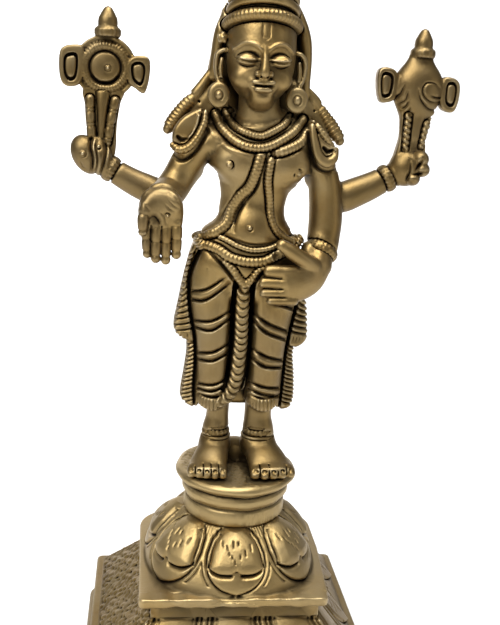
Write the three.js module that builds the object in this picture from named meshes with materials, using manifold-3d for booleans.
import * as THREE from 'three';
import { mergeVertices } from 'three/addons/utils/BufferGeometryUtils.js';
import Module from 'manifold-3d';

// A cast brass figure of a four-armed standing deity on a round stand, above a stepped square plinth.
// Millimetres, +Z up, the face looks along -Y, the origin is under the middle of the plinth.
// The figure's own right side is at -X.

// Plinth sizes
const baseWidth = 116;
const baseHeight = 8;
const stripWidth = 110;
const stripHeight = 18;
const tierWidth = 97;
const tierHeight = 25;
const neckWidth = 63;
const neckHeight = 5;
const slabWidth = 70;
const slabHeight = 3.4;
const lotusWidth = 69;
const lotusHeight = 20.3;
const plinthCorner = 7;
const lotusPetals = 8;
const tierLeavesPerSide = 6;

// Round stand, cast in one with the figure
const standWidth = 48;
const standHeight = 18;
const standRing = 41.2;
const seatGap = 0.3;

// The figure keeps its pose and proportions as shares of its own height: one share is
// 1 mm on a figure of 206 mm from the stand to the tip of the crown.
const figureHeight = 206;
const share = figureHeight / 206;

// Facets: edges shorter than this are closed where the surface turns by less than the angle
const shortestEdge = 1.3;
const leastCosine = Math.cos(THREE.MathUtils.degToRad(32));

const brassColour = 0x96804a;

const wasm = await Module();
wasm.setup();

// Geometry helpers

function solid(geometry) {
  const plain = geometry.index ? geometry.clone() : geometry;
  plain.deleteAttribute('normal');
  plain.deleteAttribute('uv');
  const merged = mergeVertices(plain, 1e-4);
  const mesh = new wasm.Mesh({
    numProp: 3,
    vertProperties: new Float32Array(merged.attributes.position.array),
    triVerts: new Uint32Array(merged.index.array),
  });
  return new wasm.Manifold(mesh);
}

function union(parts) {
  let total = parts[0];
  for (const part of parts.slice(1)) {
    total = total.add(part);
  }
  return total;
}

function geometryOf(body) {
  const mesh = body.getMesh();
  const geometry = new THREE.BufferGeometry();
  geometry.setAttribute('position', new THREE.BufferAttribute(mesh.vertProperties, 3));
  geometry.setIndex(new THREE.BufferAttribute(mesh.triVerts, 1));
  return geometry;
}

// Closes up edges shorter than a length where the surface around them turns by less than a limit,
// so that the seams of a join leave no slivers.
function closeShortEdges(geometry, shortest, leastCosine) {
  const source = geometry.attributes.position;
  const pointAt = (_, i) => new THREE.Vector3().fromBufferAttribute(source, i);
  const points = Array.from({ length: source.count }, pointAt);
  const index = geometry.index.array;
  const triangles = [];
  const around = points.map(() => new Set());
  for (let i = 0; i < index.length; i += 3) {
    triangles.push([index[i], index[i + 1], index[i + 2]]);
    triangles[i / 3].forEach((corner) => around[corner].add(i / 3));
  }
  const normal = (corners) => new THREE.Triangle(...corners).getNormal(new THREE.Vector3());
  const linked = (a) => new Set([...around[a]].flatMap((t) => triangles[t]).filter((corner) => corner !== a));
  const turns = (a, b, target) => {
    let least = 1;
    for (const t of new Set([...around[a], ...around[b]])) {
      const corners = triangles[t];
      if (corners.includes(a) && corners.includes(b)) {
        continue;
      }
      const before = corners.map((corner) => points[corner]);
      const after = corners.map((corner) => (corner === a || corner === b ? target : points[corner]));
      const thin = new THREE.Triangle(...before).getArea() < 1e-3;
      const area = new THREE.Triangle(...after).getArea();
      least = Math.min(least, area < 1e-3 ? -1 : normal(before).dot(normal(after)) + (thin ? 0.6 : 0));
    }
    return least;
  };
  let changed = true;
  while (changed) {
    changed = false;
    const edges = [];
    points.forEach((point, a) => linked(a).forEach((b) => {
      const length = point.distanceTo(points[b]);
      if (a < b && length < shortest) {
        edges.push([length, a, b]);
      }
    }));
    edges.sort((one, other) => one[0] - other[0] || one[1] - other[1]);
    for (const [, a, b] of edges) {
      const near = linked(a);
      const shared = [...linked(b)].filter((corner) => near.has(corner));
      if (!near.has(b) || shared.length !== 2) {
        continue;
      }
      const targets = [points[a], points[b], points[a].clone().lerp(points[b], 0.5)];
      const scores = targets.map((target) => turns(a, b, target));
      const best = scores.indexOf(Math.max(...scores));
      if (scores[best] < leastCosine) {
        continue;
      }
      points[a] = targets[best].clone();
      for (const t of [...around[b]]) {
        around[b].delete(t);
        if (triangles[t].includes(a)) {
          triangles[t].forEach((corner) => around[corner].delete(t));
        } else {
          triangles[t] = triangles[t].map((corner) => (corner === b ? a : corner));
          around[a].add(t);
        }
      }
      changed = true;
    }
  }
  const kept = points.map((_, i) => i).filter((i) => around[i].size > 0);
  const place = new Map(kept.map((corner, i) => [corner, i]));
  const left = triangles.filter((corners, t) => around[corners[0]].has(t));
  const result = new THREE.BufferGeometry().setFromPoints(kept.map((i) => points[i]));
  result.setIndex(left.flatMap((corners) => corners.map((corner) => place.get(corner))));
  return result;
}

function vector(x, y, z) {
  return new THREE.Vector3(x, y, z).multiplyScalar(share);
}

// Skins a cylinder over rings; place(ring, angle, corner) gives each wall point, and centre(ring) each end.
function skin(sides, rings, place, centre) {
  const geometry = new THREE.CylinderGeometry(1, 1, 1, sides, rings - 1);
  const position = geometry.attributes.position;
  for (let i = 0; i < position.count; i += 1) {
    const x = position.getX(i);
    const z = position.getZ(i);
    const ring = Math.round((position.getY(i) + 0.5) * (rings - 1));
    const angle = (Math.atan2(x, z) + 2 * Math.PI) % (2 * Math.PI);
    const corner = Math.round(angle / (2 * Math.PI) * sides) % sides;
    const onAxis = Math.hypot(x, z) < 0.5;
    const point = onAxis ? centre(ring) : place(ring, 2 * Math.PI * corner / sides, corner);
    position.setXYZ(i, point.x, point.y, point.z);
  }
  return geometry;
}

// A limb or tube through stations [x, y, z, half width, half depth], in shares of the figure.
// front points out of the section's front; flutes and ribs are shares of the radius cut back on
// every second corner or ring; round closes the ends with a dome.
function limb(stations, options = {}) {
  const front = options.front ?? new THREE.Vector3(0, -1, 0);
  const sides = options.sides ?? 10;
  const rows = options.rows ?? stations.length - 1;
  const flutes = options.flutes ?? 0;
  const ribs = options.ribs ?? 0;
  const round = options.round ?? false;
  const centres = new THREE.CatmullRomCurve3(stations.map((s) => vector(s[0], s[1], s[2])));
  const sizes = new THREE.CatmullRomCurve3(stations.map((s) => vector(s[3], s[4] ?? s[3], 0)));
  const rings = [];
  for (let i = 0; i <= rows; i += 1) {
    const t = i / rows;
    const along = centres.getTangent(t);
    const out = front.clone().addScaledVector(along, -front.dot(along)).normalize();
    const side = new THREE.Vector3().crossVectors(along, out);
    const size = sizes.getPoint(t).multiplyScalar(i % 2 === 1 ? 1 - ribs : 1);
    rings.push({ centre: centres.getPoint(t), along, out, side, wide: size.x, deep: size.y });
  }
  if (round) {
    rings.unshift(domeRing(rings[0], -1));
    rings.push(domeRing(rings[rings.length - 1], 1));
  }
  return solid(skin(sides, rings.length, (ring, angle, corner) => {
    const r = rings[ring];
    const cut = corner % 2 === 1 ? 1 - flutes : 1;
    return r.centre.clone()
      .addScaledVector(r.side, r.wide * cut * Math.sin(angle))
      .addScaledVector(r.out, r.deep * cut * Math.cos(angle));
  }, (ring) => rings[ring].centre));
}

// A row of fingers or toes side by side, from their tips to their roots, swelling towards up.
// The row runs along (root - tip) x up; bulge lifts the middle, as on a closed fist.
function digits(tips, roots, up, deep, bulge = 0) {
  const count = tips.length;
  const spread = (points, place) => {
    const low = Math.min(Math.max(Math.floor(place), 0), count - 2);
    return points[low].clone().lerp(points[low + 1], place - low);
  };
  return solid(skin(3 * count + 1, 3, (ring, angle, corner) => {
    const back = corner > 2 * count;
    const valley = !back && corner % 2 === 0;
    const place = back ? 3 * count - corner : corner / 2 - 0.5;
    const t = ring === 0 && valley ? 0.2 : ring / 2;
    const crest = valley ? 0.25 : 1;
    const depth = back ? -0.7 : crest;
    const point = spread(tips, place).lerp(spread(roots, place), t);
    const size = ring === 0 ? 0.55 : 1;
    const lift = ring === 1 ? bulge : 0;
    return point.addScaledVector(up, (deep * depth * size + lift) * share);
  }, (ring) => spread(ring === 0 ? tips : roots, (count - 1) / 2)));
}

// A ring moved past a limb's end and drawn in, which rounds the end
function domeRing(ring, sign) {
  const reach = Math.min(ring.wide, ring.deep);
  const tilt = THREE.MathUtils.degToRad(58);
  const centre = ring.centre.clone().addScaledVector(ring.along, sign * reach * Math.sin(tilt));
  return { ...ring, centre, wide: ring.wide * Math.cos(tilt), deep: ring.deep * Math.cos(tilt) };
}

// An ellipsoid of half sizes wide, deep and high
function ball(x, y, z, wide, deep, high, detail = 6) {
  const geometry = new THREE.SphereGeometry(1, detail, Math.round(detail * 0.7));
  geometry.rotateX(Math.PI / 2);
  geometry.scale(wide * share, deep * share, high * share);
  const centre = vector(x, y, z);
  geometry.translate(centre.x, centre.y, centre.z);
  return solid(geometry);
}

// A turned body about a vertical line through (x, y), from a profile [radius, z] that starts and ends on it.
function turned(x, y, profile, sides) {
  const points = profile.map(([radius, z]) => new THREE.Vector2(radius, z));
  const geometry = new THREE.LatheGeometry(points, sides);
  geometry.rotateX(Math.PI / 2);
  geometry.translate(x, y, 0);
  return solid(geometry);
}

// A disc or boss that faces the front, from a profile [radius, y distance out of its centre plane].
// Where rayed(radius) is true, every second corner is cut back, which leaves rays.
function facing(x, y, z, profile, sides, wide = 1, tall = 1, rayed = () => false) {
  const points = profile.map(([radius, out]) => new THREE.Vector2(radius * share, out * share));
  const geometry = new THREE.LatheGeometry(points, sides);
  const position = geometry.attributes.position;
  for (let i = 0; i < position.count; i += 1) {
    const [a, b] = [position.getX(i), position.getZ(i)];
    const corner = Math.abs(Math.round(Math.atan2(a, b) / (2 * Math.PI) * sides));
    if (corner % 2 === 1 && rayed(Math.hypot(a, b) / share)) {
      position.setY(i, position.getY(i) - 1 * share);
    }
  }
  geometry.rotateX(Math.PI);
  geometry.scale(wide, 1, tall);
  const centre = vector(x, y, z);
  geometry.translate(centre.x, centre.y, centre.z);
  return solid(geometry);
}

// A flat plate with a curved outline in the XZ plane, between two depths.
function plate(outline, near, far, bevel, points) {
  const curve = new THREE.CatmullRomCurve3(outline.map(([x, z]) => vector(x, z, 0)), true, 'catmullrom', 0.35);
  const edge = curve.getPoints(points ?? outline.length).slice(0, -1);
  const shape = new THREE.Shape(edge.map((point) => new THREE.Vector2(point.x, point.y)));
  const geometry = new THREE.ExtrudeGeometry(shape, {
    depth: (far - near - 2 * bevel) * share,
    bevelThickness: bevel * share,
    bevelSize: bevel * share,
    bevelOffset: -bevel * share,
    bevelSegments: 1,
  });
  geometry.rotateX(Math.PI / 2);
  geometry.translate(0, (far - bevel) * share, 0);
  return solid(geometry);
}

// Figure

const headMiddle = 1.2;
const chestMiddle = 3.6;

// Hips, waist, chest and neck in one
function torso() {
  return limb([
    [0.6, 0, 64, 15, 9],
    [0.6, 0, 74, 20.2, 11.6],
    [0.9, -0.1, 84, 19.8, 11.2],
    [2.4, -0.4, 94, 12.8, 9.4],
    [3.3, -0.2, 101, 10.8, 8.2],
    [3.5, -0.4, 108, 14, 9.2],
    [3.6, -0.8, 115.5, 18.6, 10.8],
    [3.6, -0.2, 121.6, 19.4, 9.8],
    [3.2, 0.6, 127.6, 16.6, 8.8],
    [2.6, 0.8, 132.4, 10.6, 8],
    [1.8, -0.4, 136, 7.4, 7.2],
    [1.4, -1, 142, 7.2, 7],
  ], { sides: 12 });
}

// A calm, regular face: the brows, eyes, nose base and mouth lie at even steps down to the chin
function head() {
  const x = headMiddle;
  const skull = limb([
    [x, -6.8, 137.4, 4.4, 4],
    [x, -4.2, 142, 9.2, 8.8],
    [x, -2.4, 147, 11.2, 11],
    [x, -1.2, 153, 12.2, 12.4],
    [x, -0.6, 159, 12.4, 12.8],
    [x, -0.2, 165, 12.2, 12.4],
  ], { sides: 12 });
  const features = [
    limb([[x, -12.6, 156.2, 1.1, 0.8], [x, -15, 148, 2, 2], [x, -12.6, 146, 2.2, 1]], { sides: 6 }),
    ball(x, -12.5, 142.9, 3.4, 1.9, 1.5),
  ];
  for (const sign of [-1, 1]) {
    features.push(ball(x + sign * 5.4, -11.6, 152.6, 3.1, 1.5, 1.6));
    features.push(limb([
      [x + sign * 1.8, -13.6, 156, 0.8, 0.8],
      [x + sign * 5.6, -12.9, 157.8, 0.9, 0.9],
      [x + sign * 9.6, -9.4, 156, 0.7, 0.7],
    ], { sides: 4, rows: 3 }));
    features.push(...ear(sign));
  }
  return union([skull, ...features]);
}

// A long ear with its disc-shaped ring and a flower above it
function ear(sign) {
  const x = (out) => headMiddle + sign * out;
  return [
    limb([
      [x(13), -2, 157, 1.8, 1.8],
      [x(14.8), -2, 151, 1.5, 2],
      [x(13.6), -3.4, 143, 1.5, 1.7],
    ], { sides: 5 }),
    facing(x(14.3), -5.8, 140, [[0, -2.2], [3.8, -2], [4.2, 1], [1.6, 1], [0, 2.6]], 8, 1, 1.2),
    ball(x(15), -2.4, 158.6, 2, 2, 2),
  ];
}

// Hair that falls beside the neck and lies in a ribbed roll over the shoulder
function hair(sign) {
  const x = (out) => headMiddle + sign * out;
  const lean = sign > 0 ? 0.4 : 0;
  const strip = limb([
    [x(13), 3.4, 164, 2.6, 3.4], [x(16.6), 3.8, 153, 2.4, 3.2], [x(17), 4, 143, 2.4, 2.8],
    [x(14.4), 4, 132, 2.4, 2.6],
  ], { sides: 5 });
  const roll = limb([
    [x(16.8), 3.4, 146.5, 2.4, 2.4],
    [x(21.2 + lean), 3.8, 141.8, 2.8, 2.8],
    [x(26.4 + lean), 4, 135.6, 3, 3],
    [x(31.8 + lean), 3.4, 127.8, 2.4, 2.4],
  ], { sides: 5, rows: 9, ribs: 0.14, round: true });
  return [strip, roll];
}

// Tall crown: a ribbed band that rises over the brow, a smooth ring, three leaves and a stepped top
function crown() {
  const x = headMiddle;
  const lift = 3;
  const bandRings = [[163.4, 12.4], [164.6, 14], [168.6, 14.2], [169.8, 12.2]];
  const band = solid(skin(26, bandRings.length, (ring, angle, corner) => {
    const [z, radius] = bandRings[ring];
    const reach = radius * (corner % 2 === 1 ? 0.95 : 1);
    const rise = lift * Math.max(0, Math.cos(angle));
    return vector(x + reach * Math.sin(angle), -reach * Math.cos(angle), z + rise);
  }, (ring) => vector(x, 0, bandRings[ring][0])));
  const cap = turned(x * share, 0, [
    [0, 167], [12, 167], [12, 173], [13, 174.4], [11.8, 176.2], [12.2, 184.4], [13, 186.4], [11, 188],
    [10.4, 192.2], [10.8, 194], [6.8, 197], [6.2, 199], [3.2, 200.6], [3.4, 203], [0, 206],
  ].map(([radius, z]) => [radius * share, z * share]), 12);
  const leaves = [];
  for (const step of [-1, 0, 1]) {
    const turn = THREE.MathUtils.degToRad(52 * step);
    const tall = step === 0 ? 6 : 4.8;
    leaves.push(ball(x + 11.6 * Math.sin(turn), -11.6 * Math.cos(turn), 175 + tall, 3.4, 3, tall));
  }
  return [band, cap, ...leaves];
}

// Front right arm, hanging, with the open palm to the front and the fingers down
function openHand() {
  const arm = limb([
    [-11, 0.4, 123.6, 7, 7],
    [-17.6, 0.6, 121, 7.2, 7],
    [-23, 1, 114.6, 6.4, 6.4],
    [-28, 1, 108.4, 6.4, 6.4],
    [-31.2, -4, 105.6, 5.6, 5.6],
    [-32.2, -9.6, 103.4, 5.2, 5.2],
  ], { front: new THREE.Vector3(-1, -1, -0.4), sides: 8, round: true });
  const palm = limb([
    [-32.2, -11, 107.4, 4.4, 3.2],
    [-32.2, -11.8, 104.6, 6.8, 4],
    [-32.3, -12.4, 99.6, 7.6, 3.8],
    [-32.3, -12.4, 94.8, 7.2, 2.9],
  ], { sides: 8, round: true });
  const thumb = limb([
    [-37.4, -12.4, 103, 2.4, 2.6],
    [-39.4, -12.8, 98.4, 2.2, 2.4],
    [-39.6, -13.2, 92.6, 1.7, 2],
  ], { sides: 6, round: true });
  const tips = [[-37.6, 86], [-34.2, 82.8], [-30.2, 82.8], [-26.4, 85.6]].map(([x, z]) => vector(x, -12.8, z));
  const roots = [-37.2, -33.9, -30.5, -27.2].map((x) => vector(x, -12.6, 97));
  const fingers = digits(tips, roots, new THREE.Vector3(0, -1, 0), 2.7);
  return [arm, palm, thumb, fingers];
}

// Front left arm, hanging, with the hand laid on the hip
function restingHand() {
  const arm = limb([
    [15, 0.4, 123.4, 7, 7],
    [22.6, 0.2, 121.4, 7.4, 7],
    [27.2, 0.2, 113, 6.2, 6.4],
    [29.2, 0.6, 103, 6.4, 6.4],
    [30.2, 0, 95, 6.2, 6.2],
    [29.6, -3.2, 88.6, 5.4, 5.6],
    [26.6, -7.4, 82.6, 4.8, 5],
  ], { front: new THREE.Vector3(0.4, -1, 0.3), sides: 8, round: true });
  const palm = limb([
    [27.2, -7.6, 82.4, 5, 4.2],
    [22.8, -10.4, 78.4, 7, 3.8],
    [17.2, -12.2, 76, 6.8, 3.2],
    [13, -13, 75.4, 6.6, 2.6],
  ], { front: new THREE.Vector3(0.3, -1, 0), sides: 8, round: true });
  const thumb = limb([
    [22, -11.4, 83, 2.8, 2.8],
    [15.4, -13.4, 87.2, 2.3, 2.4],
    [10.4, -13.6, 90.4, 1.9, 2],
  ], { sides: 6, round: true });
  const rows = [80.4, 77.2, 74, 70.8];
  const tips = rows.map((z, i) => vector(5 + 0.6 * Math.abs(i - 1), -13.4, z));
  const roots = rows.map((z) => vector(17, -12.6, z * 0.9 + 7.7));
  const fingers = digits(tips, roots, new THREE.Vector3(0, -1, 0), 2.8);
  return [arm, palm, thumb, fingers];
}

// A bracelet with a raised, ribbed middle
function ribbedRing(x, y, z, along, radius, thick) {
  const corners = 12;
  const geometry = new THREE.CylinderGeometry(radius * share, radius * share, thick * share, corners, 2);
  const position = geometry.attributes.position;
  for (let i = 0; i < position.count; i += 1) {
    const corner = Math.round(Math.atan2(position.getX(i), position.getZ(i)) / (2 * Math.PI) * corners);
    const waist = Math.abs(position.getY(i)) < 0.1 ? 1.1 : 1;
    const cut = (Math.abs(corner) % 2 === 1 ? 0.92 : 1) * waist;
    position.setX(i, position.getX(i) * cut);
    position.setZ(i, position.getZ(i) * cut);
  }
  const turn = new THREE.Quaternion().setFromUnitVectors(new THREE.Vector3(0, 1, 0), along.clone().normalize());
  geometry.applyQuaternion(turn);
  const centre = vector(x, y, z);
  geometry.translate(centre.x, centre.y, centre.z);
  return solid(geometry);
}

// A raised back forearm with its bracelet and a closed fist
function raisedArm(sign, wrist, fist) {
  const start = sign < 0 ? [-21, 3.4, 115, 6, 6] : [27, 3, 114, 5.6, 5.6];
  const elbow = sign < 0 ? [-29, 4.6, 106.8, 5.4, 5.6] : [33.2, 4, 105.4, 5, 5.4];
  const middle = [elbow[0] * 0.45 + wrist[0] * 0.55, 4.6, elbow[2] * 0.5 + wrist[2] * 0.5 - 0.4, 4.4, 4.4];
  const arm = limb([start, elbow, middle, [...wrist, 3.9, 4], [...fist, 4.6, 4.8]], {
    front: new THREE.Vector3(0, -1, 0.2),
    sides: 8,
  });
  const along = new THREE.Vector3(fist[0] - wrist[0], 0, fist[2] - wrist[2]);
  const bracelet = ribbedRing(wrist[0], wrist[1], wrist[2], along, 4.9, 5.6);
  const hand = ball(fist[0], fist[1], fist[2], 6.8, 6, 7.4, 8);
  const row = [-5, -1.7, 1.6, 4.8].map((across) => fist[0] + across);
  const tips = row.map((x) => vector(x, fist[1] - 4.4, fist[2] - 4.6));
  const roots = row.map((x) => vector(x, fist[1] - 3.4, fist[2] + 6.6));
  const fingers = digits(tips, roots, new THREE.Vector3(0, -1, 0), 2, 1.4);
  return [arm, bracelet, hand, fingers];
}

// The pointed top of an emblem, on its collar
function finial(x, y, z, radius, tall) {
  const profile = [
    [0, -1.5], [radius, -1.5], [radius, 2], [radius * 0.72, 2.6], [radius * 0.76, 4.4],
    [radius * 0.56, tall - 2.4], [0, tall],
  ];
  return turned(x * share, y * share, profile.map(([r, up]) => [r * share, (z + up) * share]), 7);
}

// A looped ribbon at the side of an emblem
function ribbonLoop(x, y, z, wide, tall, sign) {
  const outline = [
    [-sign * 0.5, 0.34], [0, 0.5], [sign * 0.42, 0.46], [sign * 0.5, 0], [sign * 0.36, -0.5], [0, -0.4],
  ];
  const body = plate(outline.map(([a, b]) => [x + a * wide, z + b * tall]), y - 2.2, y + 2.2, 0.5);
  const inner = outline.map(([a, b]) => [x + a * wide * 0.45, z - 0.04 * tall + b * tall * 0.62]);
  return body.subtract(plate(inner, y - 3, y - 1.2, 0.3));
}

// The discus on its stem of three bars, in the raised right hand
function discus(x, y, z, fistTop) {
  const radius = 9.4;
  const disc = facing(x, y, z, [
    [0, -2.8], [radius - 0.4, -2.8], [radius, 2.2], [8.5, 1.4], [8.2, 3], [5.8, 3], [5.2, 1.4], [4.6, 2.8],
    [0, 3.6],
  ], 22, 1, 1, (reach) => reach > 5.5 && reach < 8.4);
  const stem = plate([
    [x - 6.4, z - 6], [x + 5.2, z - 6], [x + 5.6, z - 14], [x + 4.6, fistTop], [x - 5.6, fistTop],
    [x - 6.8, z - 14],
  ], y - 2, y + 2.4, 0.6);
  const bars = [-1, 1].map((sign) => limb([
    [x - 0.6 + sign * 4.4, y - 1.8, z - 9.6, 1.8, 1.6],
    [x - 0.6 + sign * 3.6, y - 1.8, fistTop - 1, 1.6, 1.6],
  ], { sides: 5 }));
  return [
    disc, stem, ...bars,
    finial(x + 0.3, y, z + radius, 4, 11.4),
    ribbonLoop(x - 11.6, y, z + 0.4, 7.6, 14, -1),
    ribbonLoop(x + 11.6, y, z - 2.4, 7.6, 13.4, 1),
  ];
}

// The conch on its stem, in the raised left hand
function conch(x, y, z, fistTop) {
  const body = limb([
    [x, y, z - 13, 4.4, 2.8], [x, y, z - 9.5, 4.6, 3], [x, y, z - 6.6, 6.6, 4.2], [x, y, z - 2.6, 9.2, 5.8],
    [x, y, z + 1.4, 10.2, 6.4], [x, y, z + 5, 9.4, 5.8], [x, y, z + 8.4, 6.8, 4.2], [x, y, z + 10.4, 4.2, 2.6],
  ], { sides: 10 });
  const swirl = limb([
    [x + 3, y - 6, z + 4.2, 0.8, 1],
    [x + 6.4, y - 4.8, z + 1.4, 0.9, 1.1],
    [x + 5.4, y - 5, z - 3, 0.9, 1.1],
    [x + 1.6, y - 6.2, z - 3.4, 0.8, 1],
  ], { sides: 4, rows: 4 });
  const leaf = limb([
    [x - 3.8, y - 6, z - 0.4, 0.9, 1], [x - 3.6, y - 5.6, z - 4, 1, 1.1], [x - 2.2, y - 4.2, z - 8, 0.8, 1],
  ], { sides: 4 });
  const stem = plate([
    [x - 4.6, z - 7], [x + 4.6, z - 7], [x + 5.2, z - 15], [x + 4.6, fistTop], [x - 5, fistTop],
    [x - 4.6, z - 15],
  ], y - 2.2, y + 2.2, 0.6);
  const bars = [-1, 1].map((sign) => limb([
    [x + sign * 3, y - 2.4, z - 10.4, 1.6, 1.5],
    [x - 0.2 + sign * 3.4, y - 2.2, fistTop - 1, 1.6, 1.5],
  ], { sides: 5 }));
  return [
    body, swirl, leaf, stem, ...bars,
    finial(x + 0.2, y, z + 11, 3.8, 10),
    ribbonLoop(x - 11.9, y, z + 1, 6.8, 12.6, -1),
    ribbonLoop(x + 11.8, y, z - 2.4, 6.8, 12.6, 1),
  ];
}

// Jewellery and cords over the chest
function cords() {
  const inner = limb([
    [-9.8, 3, 134.6, 1.6, 1.8], [-7.4, -6, 130, 1.7, 1.8], [2, -9.4, 126.2, 1.8, 1.9],
    [11.4, -6, 130.4, 1.7, 1.8], [13.6, 3, 135, 1.6, 1.8],
  ], { sides: 5, rows: 6 });
  const outer = limb([
    [-14.4, 3, 131, 1.9, 2], [-11.2, -7, 126.2, 2, 2], [2, -10.6, 121.4, 2.1, 2], [15, -7, 126.6, 2, 2],
    [18.4, 3, 131.4, 1.9, 2],
  ], { sides: 5, rows: 6 });
  const sash = limb([
    [19.6, -3.6, 130.4, 1.9, 1.9], [11.6, -9.4, 122, 2.1, 1.8], [1.6, -11, 116.6, 2.4, 1.8],
    [-1.6, -9.8, 106.6, 2.5, 1.8],
    [-5.6, -8.4, 98.4, 2.5, 1.8], [-11.6, -8.8, 91.4, 2.4, 1.8], [-18.4, -5.2, 89.6, 2.2, 1.8],
  ], { sides: 5, rows: 14, ribs: 0.12 });
  const strand = limb([
    [4.2, -10.8, 117, 1.9, 1.8], [8, -9.2, 104, 1.8, 1.7], [9.4, -8.6, 95.6, 1.8, 1.7],
    [18.6, -5.4, 89.6, 1.8, 1.8],
  ], { sides: 5, rows: 5 });
  return [inner, outer, sash, strand];
}

// A leaf-shaped ornament with a roped rim, hanging over each shoulder
function shoulderLeaf(sign) {
  const x = (out) => chestMiddle + sign * out;
  const rim = limb([
    [x(20.4), -4.6, 133.4, 1.5, 1.7], [x(22), -7.6, 125, 1.8, 1.9], [x(27.6), -7, 119.8, 1.9, 1.9],
    [x(31.2), -2.6, 125, 1.6, 1.7],
  ], { sides: 5, rows: 6 });
  const leaf = ball(x(25.8), -3.2, 126.4, 4.8, 3.4, 7);
  return [rim, leaf];
}

// A thin cord, a wide ribbed belt with its hanging fan, and a knot at each hip
function belts() {
  const thin = limb([
    [-16, -6, 92, 1.3, 1.4], [-8, -10, 88.2, 1.4, 1.6], [8.6, -10.2, 87.6, 1.4, 1.6],
    [16.6, -6.4, 91.4, 1.3, 1.4],
  ], { sides: 4, rows: 4 });
  const wide = limb([
    [-18, 4, 89, 2.6, 2], [-18.6, -4.4, 87.6, 2.6, 2], [-9.6, -10.8, 83.4, 2.8, 2],
    [1, -12, 80.8, 3, 2.1],
    [11, -10.8, 83, 2.8, 2], [19.4, -4.6, 87.4, 2.6, 2], [18.6, 4, 89, 2.6, 2],
  ], { sides: 5, rows: 16, ribs: 0.12, front: new THREE.Vector3(0.05, -1, 0) });
  const back = limb([
    [-18.4, 3, 88, 2.6, 2.2], [-9, 10.2, 87, 2.6, 2.2], [11, 10.2, 87, 2.6, 2.2], [19, 3, 88, 2.6, 2.2],
  ], { sides: 5, front: new THREE.Vector3(0, 1, 0.01) });
  const fan = limb([[1.4, -10.4, 79.6, 6.4, 2], [1.6, -11.4, 76.4, 4.4, 2], [1.8, -11.2, 73, 1.2, 1.4]], {
    sides: 12,
    flutes: 0.12,
  });
  const knots = [[-18.4, 88.8], [18.8, 90.4]].map(([x, z]) => ball(x, -0.6, z, 3.4, 5.6, 3.6));
  return [thin, wide, back, fan, ...knots];
}

// One leg in tight cloth, with folds drawn round it in pairs, a pleated hem, the shin, an anklet and the foot
function leg(sign) {
  const lines = sign < 0 ? [70.6, 58.8, 46.8, 34.8] : [72, 60, 48, 36.4];
  const centres = sign < 0 ? [-8.6, -10.8, -9.2, -8.9, -8.8] : [9.8, 12, 11.4, 10.2, 9.9];
  const widths = sign < 0 ? [10.8, 9.2, 7.8, 7.5, 7.6] : [11, 10, 8.6, 7.6, 7.4];
  const heights = [80, 68, 50, 38, 28];
  const stations = heights.map((z, i) => new THREE.Vector3(centres[i], widths[i], z));
  const middles = new THREE.CatmullRomCurve3(stations);
  const slope = -sign * 0.36;
  const foldHalf = 1.5;
  const foldEdge = 0.8;
  const foldDepth = 0.8;
  const foldProud = 0.1;
  const rings = [{ z: 80, cut: 0 }];
  for (const z of lines) {
    rings.push({ z: z + foldHalf + foldEdge, cut: 0 });
    rings.push({ z: z + foldHalf, cut: foldDepth });
    rings.push({ z, cut: -foldProud });
    rings.push({ z: z - foldHalf, cut: foldDepth });
    rings.push({ z: z - foldHalf - foldEdge, cut: 0 });
  }
  rings.push({ z: 28.4, cut: 0 });
  rings.reverse();
  const sample = (z) => {
    const points = middles.getPoints(60);
    const near = points.reduce((a, b) => (Math.abs(b.z - z) < Math.abs(a.z - z) ? b : a));
    return { x: near.x, wide: near.y, deep: near.y * 0.62 + 3.2 };
  };
  const cloth = solid(skin(8, rings.length, (ring, angle) => {
    const r = rings[ring];
    const s = sample(r.z);
    const level = ring === 0 || ring === rings.length - 1 ? 0 : 1;
    const front = Math.cos(angle);
    const x = (s.wide - r.cut) * Math.sin(angle);
    const y = -(s.deep - r.cut) * front;
    return vector(s.x + x, y, r.z + level * (slope * x - 1.2 * Math.max(0, front)));
  }, (ring) => vector(sample(rings[ring].z).x, 0, rings[ring].z)));
  const foot = sign < 0 ? { x: -8, toe: -11.2, out: -0.18 } : { x: 9.4, toe: 13.4, out: 0.24 };
  const hem = limb([
    [centres[4] - sign * 0.4, -0.4, 26.4, 7.4, 7.6], [centres[4] - sign * 0.2, -0.3, 27.6, 8.2, 8.2],
    [centres[4], -0.2, 30.8, 7.7, 7.9],
  ], { sides: 14, flutes: 0.09 });
  const shin = limb([
    [foot.x, 1.6, 30, 4.4, 4.6], [foot.x, 2, 20, 3.9, 4.3], [foot.x, 1.9, 15.4, 4, 4.6],
    [foot.x, 1.6, 14.6, 5, 5.6], [foot.x, 1.4, 12.4, 5.1, 5.8], [foot.x, 1.4, 11.6, 4.3, 5.2],
    [foot.x, 1.8, 6, 4.8, 6],
  ], { sides: 8 });
  const sole = limb([
    [foot.x - foot.out * 2, 9.6, 3.6, 4, 4], [foot.x, 3, 4.6, 4.8, 5.6],
    [foot.toe * 0.5 + foot.x * 0.5, -5, 3.6, 5.8, 4.6],
    [foot.toe, -12.6, 1.8, 7.4, 2.8],
  ], { sides: 7, front: new THREE.Vector3(0, 0, 1) });
  const row = [-2, -1, 0, 1, 2];
  const reach = (i) => -17 + 0.6 * Math.abs(i + sign);
  const tips = row.map((i) => vector(foot.toe + 3.1 * i + foot.out * 3, reach(i), 0.9));
  const roots = row.map((i) => vector(foot.toe + 2.9 * i, -11.6, 1.6));
  const toes = digits(tips, roots, new THREE.Vector3(0, 0, 1), 2.4);
  return [cloth, hem, shin, sole, toes];
}

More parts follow.
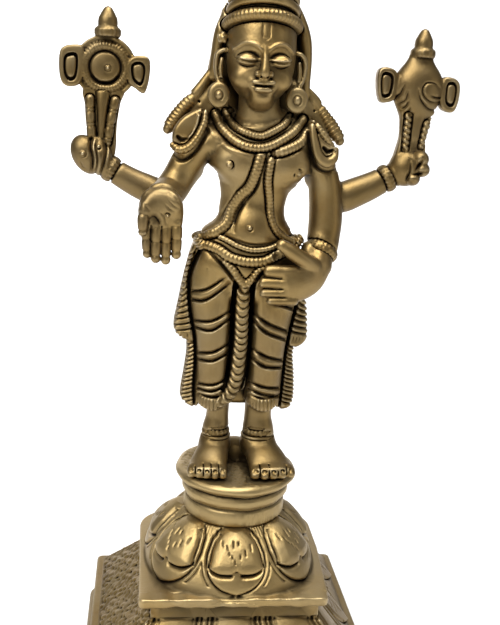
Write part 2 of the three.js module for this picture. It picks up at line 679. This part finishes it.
// The pleated end of the cloth that hangs between the legs and turns aside at the hem
function centralPleat() {
  return limb([
    [1.6, -9.4, 75, 2.6, 2.4], [1, -8.8, 62, 2.6, 2.6], [0.7, -7.8, 50, 2.5, 2.6], [0, -7.2, 40, 2.4, 2.6],
    [-1.4, -7.2, 34, 2.4, 2.6], [-4, -7.6, 30, 2.3, 2.2], [-8, -8, 28.4, 1.8, 1.4],
  ], { sides: 5, rows: 16, ribs: 0.14 });
}

// The cloth between and behind the legs
function backCloth() {
  return limb([[0.6, 4, 27, 11, 3], [0.8, 4, 56, 13, 4], [0.8, 3, 78, 16, 6]], { sides: 6 });
}

// The two hanging ends of the hip scarf on one side, cut across by slanting folds
function hangingScarf(sign) {
  const upper = sign < 0
    ? [[-16.4, 90], [-19.6, 89], [-22, 70], [-24.2, 54], [-22.4, 50.4], [-17, 51.6], [-14, 60], [-14, 80]]
    : [[17, 88], [20.6, 86], [22.4, 68], [25.4, 50], [24.4, 44.6], [20.4, 43.6], [16.4, 52], [15, 74]];
  const lower = sign < 0
    ? [[-14, 60], [-18.4, 58], [-20.4, 40], [-22.2, 27.6], [-20.6, 23.6], [-15.8, 22.4], [-12.6, 30], [-12, 50]]
    : [[14, 60], [20.4, 56], [22.8, 40], [24, 27], [22.4, 22.6], [18.2, 22], [13.8, 30], [13, 50]];
  let cloth = union([plate(upper, 0.6, 7, 1.4), plate(lower, 2, 6.6, 1.4)]);
  for (let i = 0; i < 9; i += 1) {
    const z = 82 - 6.6 * i;
    const geometry = new THREE.BoxGeometry(9 * share, 3 * share, 1.1 * share);
    geometry.rotateY(sign * 0.42);
    const place = vector(sign * (21.6 + (sign > 0 ? 1 : 0)), i < 5 ? 0.2 : 1.6, z);
    geometry.translate(place.x, place.y, place.z);
    cloth = cloth.subtract(solid(geometry));
  }
  return cloth;
}

// The stand is turned round the figure's own upright line, its top at height zero
function stand() {
  const rim = standWidth / 2;
  const ring = standRing / 2;
  const down = (shareOfHeight) => -standHeight * shareOfHeight;
  return turned(0, 0, [
    [0, down(1)], [ring, down(1)], [ring + 0.5, down(0.7)], [ring - 0.8, down(0.62)], [ring - 0.6, down(0.57)],
    [ring + 0.8, down(0.52)], [ring + 0.8, down(0.34)], [ring - 0.4, down(0.27)], [rim - 0.4, down(0.14)],
    [rim, down(0.05)], [rim - 0.7, 0], [0, 0],
  ], 24);
}

function figure() {
  const rightFist = [-57.2, 4, 117];
  const leftFist = [61.4, 4, 119.4];
  return union([
    stand(), torso(), head(), ...crown(), ...hair(-1), ...hair(1),
    ...openHand(), ...restingHand(),
    ...raisedArm(-1, [-49.8, 4, 111.4], rightFist), ...discus(-52.7, 4, 147.4, 122),
    ...raisedArm(1, [52.8, 4, 115.4], leftFist), ...conch(61.2, 4, 148, 124),
    ...cords(), ...shoulderLeaf(-1), ...shoulderLeaf(1), ...belts(),
    ...leg(-1), ...leg(1), backCloth(), centralPleat(), hangingScarf(-1), hangingScarf(1),
  ]);
}

// Plinth

// A point of a square with rounded corners. Each quarter starts in the middle of a side, and its
// corner has four points; any more points are spread along the straight sides.
const arcPoints = 4;

function roundedSquare(half, radius, corner, sides) {
  const perQuarter = sides / 4;
  const alongSide = (perQuarter - 1 - arcPoints) / 2;
  const place = corner % perQuarter;
  const straight = half - radius;
  let point = new THREE.Vector2(straight * place / (alongSide + 1), -half);
  if (place > alongSide + arcPoints) {
    point = new THREE.Vector2(half, -straight * (perQuarter - place) / (alongSide + 1));
  } else if (place > alongSide) {
    const turn = Math.PI / 2 * (place - alongSide - 1) / (arcPoints - 1);
    point = new THREE.Vector2(straight + radius * Math.sin(turn), -straight - radius * Math.cos(turn));
  }
  return point.rotateAround(new THREE.Vector2(0, 0), Math.PI / 2 * Math.floor(corner / perQuarter));
}

function plinth() {
  const tierTop = baseHeight + stripHeight + tierHeight;
  const slabBottom = tierTop + neckHeight;
  const slabTop = slabBottom + slabHeight;
  const lotusTop = slabTop + lotusHeight;
  const stripTop = baseHeight + stripHeight;
  const edge = 1;
  const stripRound = 3;
  const tierCurve = 1.4;
  const slabCorner = 2.4;
  const step = (z, wide, radius = plinthCorner) => ({ z, half: wide / 2, radius });
  const foot = squareBody(20, [
    step(0, baseWidth),
    step(baseHeight - edge, baseWidth),
    step(baseHeight, baseWidth - 2 * edge),
    step(baseHeight, stripWidth),
    step(stripTop - stripRound, stripWidth),
    step(stripTop - 0.3 * stripRound, stripWidth - 0.6 * stripRound),
    step(stripTop, stripWidth - 2 * stripRound),
    step(stripTop, tierWidth - 4),
  ]);
  const tierRings = [-0.06, 0.12, 0.4, 0.7, 0.96].map((t) => step(
    stripTop + tierHeight * t,
    neckWidth + 2 * edge + (tierWidth - neckWidth - 2 * edge) * (1 - Math.max(0, t)) ** tierCurve,
    plinthCorner * (1 - 0.6 * t),
  ));
  const leafProud = 0.8;
  const tier = squareBody(4 * (2 * tierLeavesPerSide - 1 + arcPoints), tierRings, (ring, corner) => {
    const leaf = corner % 2 === 0 ? leafProud : -leafProud;
    return ring > 0 && ring < tierRings.length - 1 ? leaf : 0;
  });
  const slab = squareBody(20, [
    step(tierTop - 3 * edge, neckWidth, slabCorner),
    step(slabBottom, neckWidth, slabCorner),
    step(slabBottom, slabWidth, slabCorner),
    step(slabTop - 0.7 * edge, slabWidth, slabCorner),
    step(slabTop, slabWidth - 1.4 * edge, slabCorner),
  ]);
  return union([foot, tier, slab, lotus(slabTop)]);
}

// A body with a square outline at each step; proud(ring, corner) pushes single corners out.
function squareBody(sides, steps, proud = () => 0) {
  return solid(skin(sides, steps.length, (ring, angle, corner) => {
    const { z, half, radius } = steps[ring];
    const point = roundedSquare(half + proud(ring, corner), radius, corner, sides);
    return new THREE.Vector3(point.x, point.y, z);
  }, (ring) => new THREE.Vector3(0, 0, steps[ring].z)));
}

// The bell of the lotus: each petal is a heart-shaped swelling inside a rim, with a valley to the next
function lotus(slabTop) {
  const bellTop = standRing / 2 + 0.6;
  const bellFoot = lotusWidth / 2;
  const rows = [-0.05, 0, 0.14, 0.28, 0.44, 0.62, 0.82, 1];
  const swelling = [0, 0, 0.8, 3, 3.4, 2.6, 1.2, 0];
  const rim = [0, 0.6, 1.9, 1.9, 1.7, 1.3, 0.6, 0];
  const across = [0, 1, 0.2, 2, 1.7, 2, 0.2, 1];
  const sides = lotusPetals * across.length;
  return solid(skin(sides, rows.length, (ring, angle, corner) => {
    const t = Math.max(0, rows[ring]);
    const place = across[(corner + across.length / 2) % across.length];
    const raised = place === 1 ? rim[ring] : swelling[ring] * place / 2;
    const radius = bellTop + (bellFoot - 1.4 - bellTop) * (1 - t ** 1.7) + raised;
    const z = slabTop + lotusHeight * rows[ring];
    return new THREE.Vector3(radius * Math.sin(angle), -radius * Math.cos(angle), z);
  }, (ring) => new THREE.Vector3(0, 0, slabTop + lotusHeight * rows[ring])));
}

// Assembly

function named(name, geometry) {
  const material = new THREE.MeshStandardMaterial({ color: brassColour, metalness: 1, roughness: 0.38 });
  const mesh = new THREE.Mesh(geometry, material);
  mesh.name = name;
  return mesh;
}

const group = new THREE.Group();
const plinthTop = baseHeight + stripHeight + tierHeight + neckHeight + slabHeight + lotusHeight;
const figureMesh = named('figure', closeShortEdges(geometryOf(figure()), shortestEdge, leastCosine));
figureMesh.position.z = plinthTop + seatGap + standHeight;
group.add(figureMesh, named('plinth', geometryOf(plinth())));

export default group;
